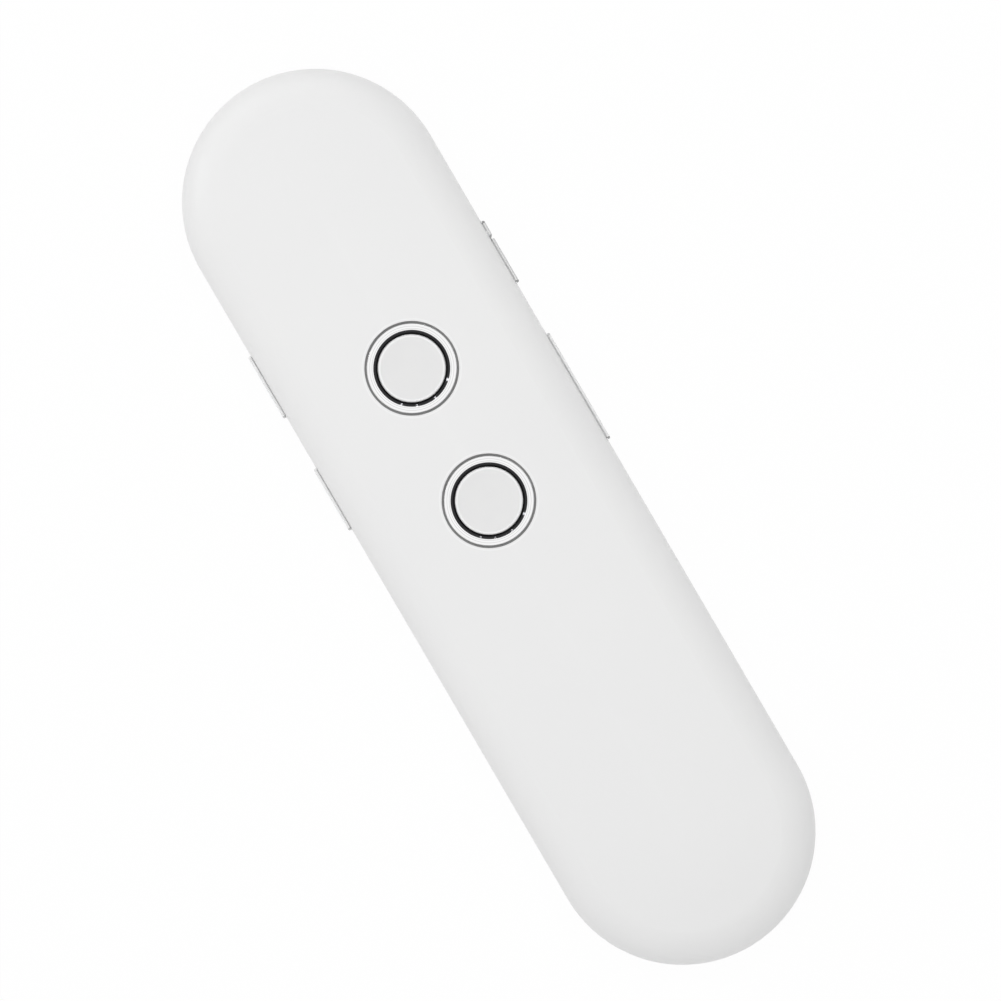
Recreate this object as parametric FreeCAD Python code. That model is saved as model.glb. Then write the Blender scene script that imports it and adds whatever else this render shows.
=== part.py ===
"""A stick-shaped handheld voice translator, as an assembly of separate pieces, in millimetres.

It lies on its back: +Z is out of the front face, +Y towards the upper (microphone) end, and the
origin is on the table under its middle. +X is the side with the port cover and the volume rocker.
"""

import math
import os

import FreeCAD
import Part
from FreeCAD import Vector

# Casing
casing_length = 142.0
casing_width = 38.0
casing_height = 13.0
wall = 1.5
crown_radius = 120.0
front_edge_radius = 5.6
rear_edge_radius = 3.8
lip_thickness = 0.6
lip_height = 1.0
lip_gap = 0.08
seam_width = 0.16
seam_depth = 0.25
half_width = casing_width / 2
end_centre = casing_length / 2 - half_width

# Round front keys
upper_key_y = 24.65
lower_key_y = 2.9
ring_radius = 6.42
ring_groove = 0.3
ring_face_drop = 0.08
ring_flange = 0.9
ring_skirt_wall = 0.97
ring_skirt_length = 1.42
ring_bevel_width = 0.55
ring_bevel_depth = 0.42
ring_crest_width = 0.55
ring_outer_fall = 0.05
ring_edge_chamfer = 0.1
ring_seat_gap = 0.05
key_well_wall = 0.7
cap_radius = 4.83
cap_gap = 0.08
cap_drop = 0.06
cap_rim_round = 0.22
cap_dish_radius = 60.0
cap_skin = 1.0
cap_flange_width = 0.6
cap_flange_height = 0.55
cap_stem_radius = 1.2
cap_foot = 0.45
key_stop_gap = 0.1
front_key_travel = 0.3

# Push switches
front_switch_width = 5.2
front_switch_height = 1.3
front_plunger_radius = 1.0
front_plunger_stand = 0.6
side_switch_width = 4.6
side_switch_depth = 2.4
side_switch_height = 1.9
side_plunger_radius = 0.5
side_plunger_stand = 0.5
plunger_gap = 0.06
plunger_collar = 0.3
switch_lid = 0.35

# Circuit board and what is on it
board_thickness = 1.0
board_side_gap = 2.0
board_end_gap = 14.0
board_corner = 3.0
board_screw_inset = 3.0
board_screw_from_end = 4.5
shield_width = 20.0
shield_length = 18.0
shield_height = 2.0
shield_sheet = 0.2
shield_corner = 1.0
shield_from_end = 6.0
board_from_speaker = 4.0
chip_gap = 1.3
processor_size = 9.0
processor_height = 0.9
memory_width = 6.0
memory_length = 8.0
memory_height = 0.8
radio_width = 12.0
radio_length = 13.0
radio_height = 1.8
radio_from_end = 4.5
radio_offset = 3.5
antenna_width = 7.0
antenna_length = 2.0
antenna_height = 1.0
antenna_from_end = 1.0
antenna_from_side = 4.6
crystal_width = 3.2
crystal_length = 2.5
crystal_height = 0.8
charger_chip_size = 4.0
charger_chip_height = 0.8
audio_chip_size = 5.0
audio_chip_height = 0.9

# Side pieces: keys, rocker and port cover
side_proud = 0.45
side_piece_height = 2.8
side_gap = 0.1
window_below_board = 2.0
upper_side_top = 37.7
lower_side_top = 19.2
side_key_length = 10.1
volume_length = 17.4
volume_end_gap = 0.2
volume_stop_gap = 0.4
volume_stem_offset = 5.5
volume_tilt = 2.0
side_key_travel = 0.3
side_flange_thickness = 0.55
side_flange_overlap = 0.5
side_pocket_depth = 0.1
side_stem_length = 1.15
side_stem_width = 1.8
side_stem_height = 1.0
side_edge_round = 0.25
right_foot_gap = 0.08
left_foot_gap = 0.04
side_foot_inside = 0.3
side_foot_depth = 0.25
nose_gap = 0.05
pivot_radius = 0.6
pivot_gap = 0.08
pivot_from_face = 0.7
pivot_rib_width = 3.0

# Port frame, its cover and the charging socket
port_frame_face_depth = 1.2
hinge_knuckle_radius = 0.7
hinge_gap = 0.1
hinge_pin_radius = 0.35
hinge_pin_gap = 0.06
hinge_ear = 0.65
cover_length = 7.2
cover_gap = 0.1
cover_tongue_width = 5.4
cover_tongue_height = 1.2
cover_tongue_length = 1.55
nail_notch_radius = 0.55
plug_width = 7.1
plug_height = 2.1
socket_width = 7.5
socket_height = 2.5
socket_length = 5.3
socket_sheet = 0.3
socket_corner = 0.9
socket_gap = 0.1
socket_tongue_width = 3.6
socket_tongue_thickness = 0.6
socket_tongue_back = 1.2
socket_block_depth = 1.0
contact_count = 5
contact_pitch = 0.65
contact_width = 0.35
contact_thickness = 0.12

# Battery and its lead
battery_switch_gap = 0.7
battery_from_board_end = 7.0
battery_edge_round = 1.2
battery_board_gap = 0.7
battery_socket_gap = 3.5
foam_thickness = 0.4
foam_margin = 2.0
battery_rib_height = 2.0
battery_rib_length = 6.0
rib_thickness = 0.8
rib_gap = 0.3
guard_board_width = 12.0
guard_board_length = 3.0
guard_board_thickness = 0.8
plug_block_width = 5.2
plug_block_length = 4.6
plug_block_height = 2.0
plug_insertion = 1.6
header_wall = 0.5
header_length = 5.0
battery_header_distance = 10.0
guard_lead_spread = 3.0
plug_lead_spread = 0.9
lead_radius = 0.42
lead_board_gap = 0.05
speaker_lead_spread = 1.8
speaker_lead_on_board = 5.0
speaker_lead_straight = 1.5

# Speaker
speaker_from_end = 23.0
speaker_radius = 10.0
speaker_height = 3.0
speaker_rim = 1.1
speaker_back_wall = 0.6
cone_recess = 0.5
cone_gap = 0.1
cone_roll = 1.0
cone_dome = 1.0
speaker_cone_thickness = 0.25
magnet_radius = 6.5
magnet_height = 1.8
magnet_edge_round = 0.4
gasket_width = 1.6
gasket_thickness = 0.6
mesh_thickness = 0.15
speaker_rib_height = 3.0
terminal_width = 6.0
terminal_length = 1.6
terminal_thickness = 0.6
grille_hole_radius = 0.55
grille_pitch = 2.2
grille_rings = 3

# Microphones
mic_radius = 1.5
mic_length = 1.5
mic_boot_wall = 0.6
mic_boot_length = 2.6
mic_hole_radius = 0.5
mic_above_board = 0.0
mic_seat_from_end = 3.8
mic_pad_wall = 0.5
cradle_wall = 0.8
cradle_gap = 0.05
mic_lead_radius = 0.28
mic_lead_spread = 0.8
mic_lead_shift = 3.0
mic_lead_straight = 2.2
mic_lead_on_board = 3.0
mic_lead_magnet_gap = 0.3

# Screws
case_screw_x = 10.0
case_screw_from_end = 11.0
case_screw_radius = 0.95
case_screw_length = 6.0
case_head_radius = 1.75
case_head_height = 1.2
case_head_depth = 2.5
case_boss_wall = 1.4
case_screw_hole_spare = 0.5
board_screw_radius = 0.8
board_screw_length = 3.2
board_head_radius = 1.4
board_head_height = 0.85
board_boss_wall = 1.15
board_screw_hole_spare = 0.3
screw_gap = 0.05
screw_head_gap = 0.2
screw_plug_thickness = 1.1
cross_width = 0.4
cross_depth = 0.5
boss_joint_gap = 0.1

# Heights that follow from the stack under the round keys
ring_face = casing_height - ring_face_drop
ring_seat = ring_face - ring_flange
ring_bottom = ring_seat - ring_skirt_length
cap_flange_top = ring_bottom - key_stop_gap
cap_flange_bottom = cap_flange_top - cap_flange_height
front_plunger_top = cap_flange_bottom - cap_foot
board_top = front_plunger_top - front_plunger_stand - front_switch_height
board_bottom = board_top - board_thickness
parting = board_bottom - window_below_board
window_top = parting + side_piece_height + 2 * side_gap
side_centre_z = (parting + window_top) / 2
side_plunger_z = board_bottom - side_switch_height / 2

# Places across the casing, on the +X side
side_face = half_width + side_proud
pocket_face = half_width - wall - side_pocket_depth
key_flange_face = pocket_face - key_stop_gap
key_flange_back = key_flange_face - side_flange_thickness
side_plunger_tip = key_flange_back - side_stem_length
side_switch_front = side_plunger_tip - side_plunger_stand
rocker_flange_face = pocket_face - volume_stop_gap
pivot_x = rocker_flange_face - pivot_from_face
rocker_centre_y = lower_side_top - volume_length / 2
board_half_width = half_width - wall - board_side_gap

# Places along the casing
board_upper_end = casing_length / 2 - board_end_gap
speaker_y = speaker_from_end - casing_length / 2
speaker_rib_outer = speaker_radius + rib_gap + rib_thickness
board_lower_end = speaker_y + speaker_rib_outer + board_from_speaker
mic_seat_y = casing_length / 2 - mic_seat_from_end
mic_z = board_bottom + mic_above_board
case_screw_y = casing_length / 2 - case_screw_from_end
board_screw_x = board_half_width - board_screw_inset

# The port
port_low = upper_side_top - side_key_length
hinge_x = side_face - hinge_knuckle_radius
hinge_y = port_low + cover_length + hinge_knuckle_radius + hinge_gap
port_plate_face = side_face - port_frame_face_depth
cover_back = port_plate_face + cover_gap
socket_y = port_low + cover_length / 2
socket_front = pocket_face - side_gap / 2

# The battery
battery_bottom = wall + foam_thickness
battery_top = board_bottom - battery_board_gap
battery_upper_end = socket_y - socket_width / 2 - battery_socket_gap
battery_lower_end = board_lower_end + battery_from_board_end
battery_width = 2 * (side_switch_front - side_switch_depth - battery_switch_gap)
guard_board_end = battery_upper_end + guard_board_length
battery_plug_back = guard_board_end + battery_header_distance
far = 200.0


# Basic shapes


def block(x_low, x_high, y_low, y_high, z_low, z_high):
    corner = Vector(x_low, y_low, z_low)
    return Part.makeBox(x_high - x_low, y_high - y_low, z_high - z_low, corner)


def rod(radius, start, end):
    """A solid cylinder from the point start to the point end."""
    along = Vector(*end) - Vector(*start)
    return Part.makeCylinder(radius, along.Length, Vector(*start), along)


def tube(outer, inner, start, end):
    return rod(outer, start, end).cut(rod(inner, start, end))


def upright(radius, x, y, z_low, z_high):
    return rod(radius, (x, y, z_low), (x, y, z_high))


def rounded_plate(width, y_low, y_high, z_low, z_high, corner):
    """A flat plate centred on x = 0 with round corners."""
    plate = block(-width / 2, width / 2, y_low, y_high, z_low, z_high)
    return plate.makeFillet(corner, edges_along(plate, Vector(0, 0, 1)))


def turned(outline, x, y):
    """A solid turned about the upright line at x, y from (radius, height) points."""
    points = [Vector(r, 0, z) for r, z in outline]
    face = Part.Face(Part.makePolygon(points + points[:1]))
    solid = face.revolve(Vector(0, 0, 0), Vector(0, 0, 1), 360)
    solid.translate(Vector(x, y, 0))
    return solid


def mirrored_x(shape):
    return shape.mirror(Vector(0, 0, 0), Vector(1, 0, 0))


def edges_along(shape, axis):
    """The edges of a block that run along axis."""
    return [e for e in shape.Edges if abs(e.tangentAt(e.FirstParameter).dot(axis)) > 0.99]


def joined(shape, *others):
    return shape.fuse(list(others)).removeSplitter()


def group(solids):
    return Part.makeCompound(solids)


# The casing's outer form


def section_edges(inset):
    """Half of the casing's cross-section, from the top centre round to the bottom centre."""
    crown_centre = Vector(0, 0, casing_height - crown_radius)
    reach = crown_radius - front_edge_radius
    edge_x = half_width - front_edge_radius
    edge_rise = math.sqrt(reach**2 - edge_x**2)
    edge_centre = crown_centre + Vector(edge_x, 0, edge_rise)
    slope = math.atan2(edge_x, edge_rise)

    def on_arc(centre, radius, angle):
        return centre + Vector(math.sin(angle), 0, math.cos(angle)) * (radius - inset)

    rear_centre = Vector(half_width - rear_edge_radius, 0, rear_edge_radius)
    quarter = math.pi / 2
    crown = [on_arc(crown_centre, crown_radius, a) for a in (0, slope / 2, slope)]
    turns = (slope, (slope + quarter) / 2, quarter)
    shoulder = [on_arc(edge_centre, front_edge_radius, a) for a in turns]
    turns = (quarter, 1.5 * quarter, 2 * quarter)
    heel = [on_arc(rear_centre, rear_edge_radius, a) for a in turns]
    return [
        Part.Arc(*crown).toShape(),
        Part.Arc(*shoulder).toShape(),
        Part.LineSegment(shoulder[-1], heel[0]).toShape(),
        Part.Arc(*heel).toShape(),
        Part.LineSegment(heel[-1], Vector(0, 0, inset)).toShape(),
    ]


def casing_solid(inset):
    """The casing's whole form drawn in by inset: a prism between two turned ends."""
    side = section_edges(inset)
    axis = Part.LineSegment(Vector(0, 0, inset), Vector(0, 0, casing_height - inset)).toShape()
    half_face = Part.Face(Part.Wire(side + [axis]))
    upper = half_face.revolve(Vector(0, 0, 0), Vector(0, 0, 1), 180)
    lower = half_face.revolve(Vector(0, 0, 0), Vector(0, 0, 1), -180)
    upper.translate(Vector(0, end_centre, 0))
    lower.translate(Vector(0, -end_centre, 0))
    middle = half_face.extrude(Vector(0, 2 * end_centre, 0))
    middle.translate(Vector(0, -end_centre, 0))
    return joined(middle, mirrored_x(middle), upper, lower)


def stadium(inset, z_low, z_high):
    """An upright prism with the casing's outline drawn in by inset."""
    radius = half_width - inset
    middle = block(-radius, radius, -end_centre, end_centre, z_low, z_high)
    ends = [upright(radius, 0, y, z_low, z_high) for y in (-end_centre, end_centre)]
    return joined(middle, *ends)


casing_outer = casing_solid(0)
casing_inner = casing_solid(wall)
casing_middle = casing_solid(wall / 2)


def side_window(side, y_low, y_high, gap):
    """The gap in the front shell's rim that a side piece stands in."""
    inner = half_width - 2 * wall
    window = block(inner, half_width + 1, y_low - gap, y_high + gap, parting, window_top)
    return window if side > 0 else mirrored_x(window)


def side_pocket(side, y_low, y_high):
    """The flat inside the wall that a side piece's flange lies against."""
    reach = side_flange_overlap + 2 * side_gap
    pocket = block(
        half_width - 2 * wall, pocket_face, y_low - reach, y_high + reach, parting, window_top + reach
    )
    return pocket if side > 0 else mirrored_x(pocket)


side_places = [
    (1, port_low, upper_side_top, side_gap),
    (1, lower_side_top - volume_length, lower_side_top, volume_end_gap),
    (-1, port_low, upper_side_top, side_gap),
    (-1, lower_side_top - side_key_length, lower_side_top, side_gap),
]
case_screw_places = [(x, y) for x in (-case_screw_x, case_screw_x) for y in (-case_screw_y, case_screw_y)]
board_screw_places = [
    (x, y)
    for x in (-board_screw_x, board_screw_x)
    for y in (board_lower_end + board_screw_from_end, board_upper_end - board_screw_from_end)
]


# Casing pieces


def seam_groove():
    """The fine shadow line round the casing where its two shells meet."""
    low = parting - seam_width / 2
    high = parting + seam_width / 2
    return stadium(-1, low, high).cut(stadium(seam_depth, low, high))


def microphone_seat(end):
    """The pad with the sound hole, and the cradle over the microphone's boot. end is 1 or -1."""
    boot_radius = mic_radius + mic_boot_wall
    floor_z = parting + lip_height + 2 * lip_gap
    seat = mic_seat_y
    pad = rod(boot_radius + mic_pad_wall, (0, seat, mic_z), (0, casing_length / 2, mic_z))
    half_cradle = boot_radius + cradle_gap + cradle_wall
    cradle = block(-half_cradle, half_cradle, seat - mic_boot_length, seat, mic_z, casing_height)
    room = rod(boot_radius + cradle_gap, (0, seat - mic_boot_length - 1, mic_z), (0, seat, mic_z))
    seat_solid = pad.cut(block(-far, far, 0, far, -far, floor_z)).fuse(cradle.cut(room))
    seat_solid = seat_solid.common(casing_middle)
    return seat_solid if end > 0 else seat_solid.mirror(Vector(0, 0, 0), Vector(0, 1, 0))


def front_shell():
    """The deep front half of the casing, with every boss and collar that hangs from its ceiling."""
    shell = casing_outer.cut(casing_inner).common(block(-far, far, -far, far, parting, far))
    collar_radius = ring_radius + ring_groove + key_well_wall
    inside = []
    for key_y in (upper_key_y, lower_key_y):
        inside.append(upright(collar_radius, 0, key_y, ring_bottom, casing_height))
    for x, y in board_screw_places:
        inside.append(upright(board_screw_radius + board_boss_wall, x, y, board_top, casing_height))
    for x, y in case_screw_places:
        inside.append(upright(case_screw_radius + case_boss_wall, x, y, parting, casing_height))
    inside.append(upright(pivot_radius, pivot_x, rocker_centre_y, parting + side_gap, casing_height))
    inside = [piece.common(casing_middle) for piece in inside]
    rebate = stadium(wall - lip_thickness - lip_gap, parting, parting + lip_height + lip_gap)
    rebate = rebate.cut(stadium(wall + lip_gap, parting, parting + lip_height + lip_gap))
    shell = shell.cut(rebate)
    for side, y_low, y_high, gap in side_places:
        shell = shell.cut(side_pocket(side, y_low, y_high))
    shell = shell.fuse(inside + [microphone_seat(1), microphone_seat(-1)])
    cuts = []
    for key_y in (upper_key_y, lower_key_y):
        cuts.append(upright(ring_radius + ring_groove, 0, key_y, ring_seat, far))
        cuts.append(upright(ring_skirt_radius() + ring_seat_gap, 0, key_y, ring_bottom - 1, far))
    board_hole_top = board_top + board_screw_length
    for x, y in board_screw_places:
        cuts.append(upright(board_screw_radius + screw_gap, x, y, board_top - 1, board_hole_top))
    case_hole_top = case_head_depth + case_screw_length + case_screw_hole_spare
    for x, y in case_screw_places:
        cuts.append(upright(case_screw_radius + screw_gap, x, y, parting - 1, case_hole_top))
    for side, y_low, y_high, gap in side_places:
        cuts.append(side_window(side, y_low, y_high, gap))
    cuts.append(seam_groove())
    cuts.append(rod(mic_hole_radius, (0, -far, mic_z), (0, -mic_seat_y + 1, mic_z)))
    cuts.append(rod(mic_hole_radius, (0, mic_seat_y - 1, mic_z), (0, far, mic_z)))
    return shell.cut(cuts).removeSplitter()


def grille_holes():
    """A hexagonal patch of sound holes under the speaker."""
    holes = []
    for row in range(-grille_rings, grille_rings + 1):
        in_row = 2 * grille_rings + 1 - abs(row)
        for k in range(in_row):
            x = (k - (in_row - 1) / 2) * grille_pitch
            y = speaker_y + row * grille_pitch * math.sqrt(3) / 2
            holes.append(upright(grille_hole_radius, x, y, -1, wall + 1))
    return holes


def rear_shell():
    """The shallow rear half, with its lip, screw bosses, speaker ring, battery ribs and grille."""
    shell = casing_outer.cut(casing_inner).common(block(-far, far, -far, far, -far, parting))
    lip = stadium(wall - lip_thickness, parting - wall, parting + lip_height)
    lip = lip.cut(stadium(wall, parting - wall - 1, parting + lip_height + 1))
    for side, y_low, y_high, gap in side_places:
        reach = side_flange_overlap + 3 * side_gap
        lip = lip.cut(side_window(side, y_low - reach, y_high + reach, gap))
    boss_outer = case_head_radius + screw_head_gap + rib_thickness
    boss_top = parting - boss_joint_gap
    inside = [upright(boss_outer, x, y, wall / 2, boss_top) for x, y in case_screw_places]
    ring = tube(
        speaker_rib_outer, speaker_radius + rib_gap,
        (0, speaker_y, wall / 2), (0, speaker_y, wall + speaker_rib_height),
    )
    inside.append(ring)
    rib_x = battery_width / 2 + rib_gap
    for y in (battery_lower_end + battery_rib_length, battery_upper_end - 2 * battery_rib_length):
        for x in (-rib_x - rib_thickness, rib_x):
            rib_top = wall + battery_rib_height
            inside.append(block(x, x + rib_thickness, y, y + battery_rib_length, wall / 2, rib_top))
    shell = shell.fuse([piece.common(casing_middle) for piece in inside] + [lip])
    cuts = grille_holes() + [seam_groove()]
    for x, y in case_screw_places:
        cuts.append(upright(case_head_radius + screw_head_gap, x, y, -1, case_head_depth))
        cuts.append(upright(case_screw_radius + screw_head_gap, x, y, 0, parting))
    return shell.cut(cuts).removeSplitter()


def screw(x, y, head_low, head_radius, head_height, radius, length):
    """A pan-head screw that points up, with a cross cut in its head from below."""
    head = upright(head_radius, x, y, head_low, head_low + head_height)
    rim = [e for e in head.Edges if e.BoundBox.ZMax < head_low + 0.001]
    head = head.makeFillet(head_height / 3, rim)
    top = head_low + head_height + length
    shank = upright(radius, x, y, head_low + head_height, top - radius)
    tip = Part.makeCone(radius, radius / 4, radius, Vector(x, y, top - radius))
    arm = head_radius / 2
    half = cross_width / 2
    cross = [
        block(x - arm, x + arm, y - half, y + half, head_low - 1, head_low + cross_depth),
        block(x - half, x + half, y - arm, y + arm, head_low - 1, head_low + cross_depth),
    ]
    return joined(head, shank, tip).cut(cross)


def case_screws():
    return group([
        screw(x, y, case_head_depth - case_head_height, case_head_radius, case_head_height,
              case_screw_radius, case_screw_length)
        for x, y in case_screw_places
    ])


def screw_plugs():
    """Soft plugs that close the screw recesses, a hair below the resting face."""
    low = screw_gap
    radius = case_head_radius + screw_head_gap - screw_gap
    high = low + screw_plug_thickness
    return group([upright(radius, x, y, low, high) for x, y in case_screw_places])


# Round front keys


def ring_skirt_radius():
    return cap_radius + cap_gap + ring_skirt_wall


def key_ring(key_y):
    """The bright bezel: a face that falls from its crest, a steep bevel, and a skirt through the shell."""
    bore = cap_radius + cap_gap
    bevel_top = bore + ring_bevel_width
    rim_z = ring_face - ring_outer_fall
    outline = [
        (bore, ring_bottom),
        (ring_skirt_radius(), ring_bottom),
        (ring_skirt_radius(), ring_seat),
        (ring_radius, ring_seat),
        (ring_radius, rim_z - ring_edge_chamfer),
        (ring_radius - ring_edge_chamfer, rim_z),
        (bevel_top + ring_crest_width, ring_face),
        (bevel_top, ring_face),
        (bore, ring_face - ring_bevel_depth),
    ]
    return turned(outline, 0, key_y)


def key_cap(key_y):
    """A hollow moulded cap with a dished top, a stop flange and a central stem."""
    rim_z = ring_face - cap_drop
    flange_radius = cap_radius + cap_flange_width
    cap = upright(cap_radius, 0, key_y, cap_flange_bottom, rim_z)
    cap = joined(cap, upright(flange_radius, 0, key_y, cap_flange_bottom, cap_flange_top))
    dish_drop = cap_dish_radius - math.sqrt(cap_dish_radius**2 - (cap_radius - cap_rim_round) ** 2)
    ball = Part.makeSphere(cap_dish_radius, Vector(0, key_y, rim_z - dish_drop + cap_dish_radius))
    cap = cap.cut(ball)
    rim = [e for e in cap.Edges if e.BoundBox.ZMin > rim_z - 0.001]
    cap = cap.makeFillet(cap_rim_round, rim)
    hollow_top = rim_z - dish_drop - cap_skin
    cap = cap.cut(upright(cap_radius - cap_skin, 0, key_y, cap_flange_bottom - 1, hollow_top))
    stem = upright(cap_stem_radius, 0, key_y, front_plunger_top, hollow_top + cap_skin / 2)
    return joined(cap, stem)


# Push switches


def push_switch(width, length, height, plunger_radius, stand, travel_in, travel_out=0):
    """A switch body on z = 0 with its plunger upwards, and the plunger, as two solids."""
    body = block(-width / 2, width / 2, -length / 2, length / 2, 0, height)
    collar = plunger_radius + plunger_collar
    lid_z = height - switch_lid
    collar_top = lid_z - travel_out - plunger_gap
    collar_low = collar_top - plunger_collar
    pocket = upright(collar + plunger_gap, 0, 0, collar_low - travel_in - plunger_gap, lid_z)
    body = body.cut([pocket, upright(plunger_radius + plunger_gap, 0, 0, collar_top, height + 1)])
    plunger = upright(plunger_radius, 0, 0, collar_low, height + stand)
    plunger = joined(plunger, upright(collar, 0, 0, collar_low, collar_top))
    return body, plunger


def placed_front_switch(key_y):
    body, plunger = push_switch(
        front_switch_width, front_switch_width, front_switch_height,
        front_plunger_radius, front_plunger_stand, front_key_travel,
    )
    for solid in (body, plunger):
        solid.translate(Vector(0, key_y, board_top))
    return body, plunger


def placed_side_switch(side, y, travel_in, travel_out=0):
    """A switch under the board's edge whose plunger points out of the side."""
    body, plunger = push_switch(
        side_switch_height, side_switch_width, side_switch_depth,
        side_plunger_radius, side_plunger_stand, travel_in, travel_out,
    )
    placed = []
    for solid in (body, plunger):
        solid.rotate(Vector(0, 0, 0), Vector(0, 1, 0), 90)
        solid.translate(Vector(side_switch_front - side_switch_depth, y, side_plunger_z))
        placed.append(solid if side > 0 else mirrored_x(solid))
    return placed


# Side keys and the volume rocker


def foot_groove(y_low, y_high, gap):
    """The neck behind a side piece's head, a thin dark line where it leaves the casing."""
    z_low = parting + side_gap
    z_high = window_top - side_gap
    depth = side_foot_depth
    x_low = half_width - side_foot_inside
    x_high = half_width + gap
    around = block(x_low, x_high, y_low - 1, y_high + 1, z_low - 1, z_high + 1)
    neck = block(x_low, x_high, y_low + depth, y_high - depth, z_low + depth, z_high - depth)
    return around.cut(neck)


def side_key_body(y_low, y_high, flange_face, foot_gap):
    """A key's outer bar and its stop flange, on the +X side."""
    z_low = parting + side_gap
    z_high = window_top - side_gap
    bar = block(flange_face - side_flange_thickness, side_face, y_low, y_high, z_low, z_high)
    outer = [e for e in bar.Edges if e.BoundBox.XMin > side_face - 0.001]
    bar = bar.makeFillet(side_edge_round, outer).cut(foot_groove(y_low, y_high, foot_gap))
    over = side_flange_overlap
    flange = block(
        flange_face - side_flange_thickness, flange_face,
        y_low - over, y_high + over, z_low - over, z_high + over,
    )
    return joined(bar, flange)


def side_key(y_low, y_high):
    """A push key for the +X side: bar, flange and a stem onto its switch's plunger."""
    y = (y_low + y_high) / 2
    stem = block(
        side_plunger_tip, key_flange_back + side_flange_thickness / 2,
        y - side_stem_width / 2, y + side_stem_width / 2,
        side_plunger_z - side_stem_height / 2, side_plunger_z + side_stem_height / 2,
    )
    return joined(side_key_body(y_low, y_high, key_flange_face, left_foot_gap), stem)


def volume_rocker():
    """The long rocker: it turns on a post of the front shell and presses one switch at each end."""
    y_low = lower_side_top - volume_length
    key = side_key_body(y_low, lower_side_top, rocker_flange_face, right_foot_gap)
    half_rib = pivot_rib_width / 2
    rib = block(
        pivot_x - pivot_radius / 2, rocker_flange_face,
        rocker_centre_y - half_rib, rocker_centre_y + half_rib,
        parting + side_gap, window_top - side_gap,
    )
    z_low = side_plunger_z - side_stem_height / 2
    nose = side_stem_width / 2
    solids = [rib]
    for y in (rocker_centre_y - volume_stem_offset, rocker_centre_y + volume_stem_offset):
        nose_x = side_plunger_tip + nose_gap + nose
        z_high = z_low + side_stem_height
        solids.append(upright(nose, nose_x, y, z_low, z_high))
        solids.append(block(nose_x, rocker_flange_face, y - nose, y + nose, z_low, z_high))
    key = joined(key, *solids)
    return key.cut(upright(pivot_radius + pivot_gap, pivot_x, rocker_centre_y, -1, casing_height))


# Port frame, cover and charging socket


def port_frame():
    """The insert round the charging port, with two ears that hold the cover's pin."""
    z_low = parting + side_gap
    z_high = window_top - side_gap
    back = pocket_face - side_flange_thickness
    plate = block(back, port_plate_face, port_low, upper_side_top, z_low, z_high)
    over = side_flange_overlap
    flange = block(
        back, pocket_face, port_low - over, upper_side_top + over, z_low - over, z_high + over
    )
    head = block(port_plate_face - side_gap, side_face, hinge_y, upper_side_top, z_low, z_high)
    faces_out = [e for e in head.Edges if e.BoundBox.XMin > side_face - 0.001]
    outer = [e for e in faces_out if e.BoundBox.YMax > hinge_y + 0.01]
    head = head.makeFillet(side_edge_round, outer)
    head = head.cut(foot_groove(hinge_y - 1, upper_side_top, right_foot_gap))
    barrel = upright(hinge_knuckle_radius, hinge_x, hinge_y, z_low, z_high)
    frame = joined(plate, flange, head, barrel)
    knuckle_room = upright(
        hinge_knuckle_radius + hinge_gap, hinge_x, hinge_y, z_low + hinge_ear, z_high - hinge_ear
    )
    plug_room = block(
        0, far, socket_y - plug_width / 2, socket_y + plug_width / 2,
        side_centre_z - plug_height / 2, side_centre_z + plug_height / 2,
    )
    half_room = socket_width / 2 + socket_gap
    half_high = socket_height / 2 + socket_gap
    socket_room = block(
        0, pocket_face, socket_y - half_room, socket_y + half_room,
        side_centre_z - half_high, side_centre_z + half_high,
    )
    pin_hole = upright(hinge_pin_radius, hinge_x, hinge_y, 0, casing_height)
    ears_only = plug_room.cut(block(port_plate_face, far, -far, far, -far, far))
    return frame.cut([knuckle_room, ears_only, socket_room, pin_hole]).removeSplitter()


def port_cover():
    """The flap: a bar flush with the keys, a knuckle on the pin and a tongue into the socket."""
    z_low = parting + side_gap
    z_high = window_top - side_gap
    bar = block(cover_back, side_face, port_low, port_low + cover_length, z_low, z_high)
    lower_rim = [
        e for e in bar.Edges
        if e.BoundBox.XMin > side_face - 0.001 and e.CenterOfMass.y < port_low + cover_length - 0.01
    ]
    bar = bar.makeFillet(side_edge_round, lower_rim)
    bar = bar.cut(foot_groove(port_low, port_low + cover_length, right_foot_gap))
    knuckle_low = z_low + hinge_ear + hinge_gap
    knuckle_high = z_high - hinge_ear - hinge_gap
    knuckle = upright(hinge_knuckle_radius, hinge_x, hinge_y, knuckle_low, knuckle_high)
    arm_face = hinge_x + hinge_knuckle_radius / 2
    arm_low = port_low + cover_length - side_edge_round
    arm = block(cover_back, arm_face, arm_low, hinge_y, knuckle_low, knuckle_high)
    tongue = block(
        cover_back - cover_tongue_length, cover_back,
        socket_y - cover_tongue_width / 2, socket_y + cover_tongue_width / 2,
        side_centre_z - cover_tongue_height / 2, side_centre_z + cover_tongue_height / 2,
    )
    cover = joined(bar, knuckle, arm, tongue)
    notch_x = side_face + nail_notch_radius / 2
    notch_reach = side_piece_height / 4
    notch = upright(
        nail_notch_radius, notch_x, port_low, side_centre_z - notch_reach, side_centre_z + notch_reach
    )
    hole = upright(hinge_pin_radius + hinge_pin_gap, hinge_x, hinge_y, 0, casing_height)
    return cover.cut([notch, hole])


def port_cover_pin():
    return upright(hinge_pin_radius, hinge_x, hinge_y, parting + side_gap, window_top - side_gap)


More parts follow.
